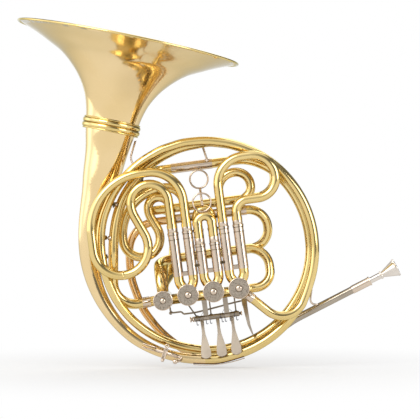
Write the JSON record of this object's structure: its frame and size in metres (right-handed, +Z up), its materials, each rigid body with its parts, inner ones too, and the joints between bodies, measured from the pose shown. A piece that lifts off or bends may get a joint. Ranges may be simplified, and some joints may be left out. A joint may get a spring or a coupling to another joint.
{
  "type": "double french horn",
  "caption": "Double french horn with rotary valves, thumb change valve, pull-out slides, detachable flare and cup mouthpiece.",
  "frame": {"origin": "the lowest point of the ring's centre line, where the left hand holds the horn", "axes": "+X towards the mouthpiece, +Z up, the valve caps face -Y"},
  "size_m": [0.5281, 0.31, 0.4752],
  "materials": {
    "lacquered_brass": "polished",
    "nickel_silver": "polished",
    "rose_brass": "polished",
    "silver_plate": "polished",
    "spring_steel": "satin",
    "cork": "matte"
  },
  "bodies": {
    "horn": {"back_plates": "nickel_silver", "bell_branch": "lacquered_brass", "bell_tail": "lacquered_brass", "change_branch": "lacquered_brass", "change_casing": "lacquered_brass", "elbow_tubes": "lacquered_brass", "f_feed_tube": "lacquered_brass", "f_inlet_tube": "lacquered_brass", "f_ring_tube": "lacquered_brass", "f_slide_sleeves": "nickel_silver", "ferrules": "nickel_silver", "front_caps": "nickel_silver", "hand_guard": "nickel_silver", "hinge_posts": "nickel_silver", "hinge_rod": "nickel_silver", "hook_clamp": "nickel_silver", "knuckles": "lacquered_brass", "lead_pipe": "nickel_silver", "lever_springs": "spring_steel", "lower_bow": "lacquered_brass", "main_sleeves": "nickel_silver", "receiver": "nickel_silver", "return_tube": "rose_brass", "stays": "nickel_silver", "stop_corks": "cork", "tail_collar": "lacquered_brass", "valve1_casing": "lacquered_brass", "valve1_sleeves": "nickel_silver", "valve2_casing": "lacquered_brass", "valve2_sleeves": "nickel_silver", "valve3_casing": "lacquered_brass", "valve3_sleeves": "nickel_silver"},
    "bell": {"bell_flare": "lacquered_brass", "bell_rim": "lacquered_brass", "bell_collar": "lacquered_brass"},
    "mouthpiece": {"mouthpiece": "silver_plate"},
    "f1_slide": {"f1_slide": "lacquered_brass"},
    "f2_slide": {"f2_slide": "lacquered_brass"},
    "f3_slide": {"f3_slide": "lacquered_brass"},
    "b1_slide": {"b1_slide": "lacquered_brass"},
    "b2_slide": {"b2_slide": "lacquered_brass"},
    "b3_slide": {"b3_slide": "lacquered_brass"},
    "main_slide": {"main_slide": "lacquered_brass"},
    "f_tuning_slide": {"f_tuning_slide": "lacquered_brass"},
    "lever1": {"lever1": "nickel_silver"},
    "link1": {"link1": "nickel_silver"},
    "rotor1": {"valve1_rotor": "nickel_silver"},
    "lever2": {"lever2": "nickel_silver"},
    "link2": {"link2": "nickel_silver"},
    "rotor2": {"valve2_rotor": "nickel_silver"},
    "lever3": {"lever3": "nickel_silver"},
    "link3": {"link3": "nickel_silver"},
    "rotor3": {"valve3_rotor": "nickel_silver"},
    "thumb_lever": {"thumb_lever": "nickel_silver"},
    "thumb_link": {"thumb_link": "nickel_silver"},
    "change_rotor": {"change_rotor": "nickel_silver"},
    "finger_hook": {"finger_hook": "nickel_silver"},
    "clamp_screw": {"clamp_screw": "nickel_silver"}
  },
  "joints": [
    {"name": "bell_unscrew", "type": "slide", "parent": "horn", "child": "bell", "axis": [0.1977, 0, 0.9803], "range_m": [0, 0.02]},
    {"name": "mouthpiece_pull", "type": "slide", "parent": "horn", "child": "mouthpiece", "axis": [0.8902, 0, 0.4556], "range_m": [0, 0.03]},
    {"name": "f1_pull", "type": "slide", "parent": "horn", "child": "f1_slide", "axis": [-0.1305, 0, 0.9914], "range_m": [0, 0.05]},
    {"name": "f2_pull", "type": "slide", "parent": "horn", "child": "f2_slide", "axis": [-0.1305, 0, 0.9914], "range_m": [0, 0.035]},
    {"name": "f3_pull", "type": "slide", "parent": "horn", "child": "f3_slide", "axis": [-0.1305, 0, 0.9914], "range_m": [0, 0.04]},
    {"name": "b1_pull", "type": "slide", "parent": "horn", "child": "b1_slide", "axis": [-0.1305, 0, 0.9914], "range_m": [0, 0.012]},
    {"name": "b2_pull", "type": "slide", "parent": "horn", "child": "b2_slide", "axis": [-0.1305, 0, 0.9914], "range_m": [0, 0.022]},
    {"name": "b3_pull", "type": "slide", "parent": "horn", "child": "b3_slide", "axis": [-0.1305, 0, 0.9914], "range_m": [0, 0.03]},
    {"name": "main_pull", "type": "slide", "parent": "horn", "child": "main_slide", "axis": [0.9914, 0, 0.1305], "range_m": [0, 0.034]},
    {"name": "f_tuning_pull", "type": "slide", "parent": "horn", "child": "f_tuning_slide", "axis": [-0.9914, 0, -0.1305], "range_m": [0, 0.034]},
    {"name": "lever1_press", "type": "hinge", "parent": "horn", "child": "lever1", "pos_m": [0.03612, 0.008, 0.06178], "axis": [0.9914, 0, 0.1305], "range_deg": [0, 18.3], "stiffness_Nm_per_rad": 0.06, "springref_deg": -20.05},
    {"name": "link1_swing", "type": "hinge", "parent": "lever1", "child": "link1", "pos_m": [0.04268, 0.0485, 0.06264], "axis": [0.9914, 0, 0.1305], "range_deg": [-19, 0]},
    {"name": "rotor1_turn", "type": "hinge", "parent": "horn", "child": "rotor1", "pos_m": [0.0457, 0, 0.09854], "axis": [0, 1, 0], "range_deg": [0, 90]},
    {"name": "lever2_press", "type": "hinge", "parent": "horn", "child": "lever2", "pos_m": [0.01629, 0.008, 0.05917], "axis": [0.9914, 0, 0.1305], "range_deg": [0, 18.3], "stiffness_Nm_per_rad": 0.06, "springref_deg": -20.05},
    {"name": "link2_swing", "type": "hinge", "parent": "lever2", "child": "link2", "pos_m": [0.00818, 0.0485, 0.0581], "axis": [0.9914, 0, 0.1305], "range_deg": [-19, 0]},
    {"name": "rotor2_turn", "type": "hinge", "parent": "horn", "child": "rotor2", "pos_m": [0.0112, 0, 0.094], "axis": [0, 1, 0], "range_deg": [0, 90]},
    {"name": "lever3_press", "type": "hinge", "parent": "horn", "child": "lever3", "pos_m": [-0.00433, 0.008, 0.05645], "axis": [0.9914, 0, 0.1305], "range_deg": [0, 18.3], "stiffness_Nm_per_rad": 0.06, "springref_deg": -20.05},
    {"name": "link3_swing", "type": "hinge", "parent": "lever3", "child": "link3", "pos_m": [-0.01125, 0.0485, 0.05554], "axis": [0.9914, 0, 0.1305], "range_deg": [-19, 0]},
    {"name": "rotor3_turn", "type": "hinge", "parent": "horn", "child": "rotor3", "pos_m": [-0.0233, 0, 0.08946], "axis": [0, 1, 0], "range_deg": [0, 90]},
    {"name": "thumb_press", "type": "hinge", "parent": "horn", "child": "thumb_lever", "pos_m": [0.05347, 0.02024, 0.07939], "axis": [-0.1305, 0, 0.9914], "range_deg": [0, 19.2], "stiffness_Nm_per_rad": 0.06, "springref_deg": -20.05},
    {"name": "thumb_link_swing", "type": "hinge", "parent": "thumb_lever", "child": "thumb_link", "pos_m": [0.05978, 0.0577, 0.08022], "axis": [-0.1305, 0, 0.9914], "range_deg": [-20, 0]},
    {"name": "change_turn", "type": "hinge", "parent": "horn", "child": "change_rotor", "pos_m": [-0.05737, 0, 0.08164], "axis": [0, 1, 0], "range_deg": [0, 90]},
    {"name": "hook_shift", "type": "slide", "parent": "horn", "child": "finger_hook", "axis": [0.9511, 0, -0.309], "range_m": [0, 0.006]},
    {"name": "screw_turn", "type": "hinge", "parent": "horn", "child": "clamp_screw", "pos_m": [-0.05505, 0.0021, 0.00997], "axis": [0.309, 0, 0.9511], "continuous": true}
  ],
  "couplings": [
    {"joint": "link1_swing", "follows": "lever1_press", "ratio": -1},
    {"joint": "rotor1_turn", "follows": "lever1_press", "ratio": 4.9135},
    {"joint": "link2_swing", "follows": "lever2_press", "ratio": -1},
    {"joint": "rotor2_turn", "follows": "lever2_press", "ratio": 4.9135},
    {"joint": "link3_swing", "follows": "lever3_press", "ratio": -1},
    {"joint": "rotor3_turn", "follows": "lever3_press", "ratio": 4.9135},
    {"joint": "thumb_link_swing", "follows": "thumb_press", "ratio": -1},
    {"joint": "change_turn", "follows": "thumb_press", "ratio": 4.6676}
  ]
}
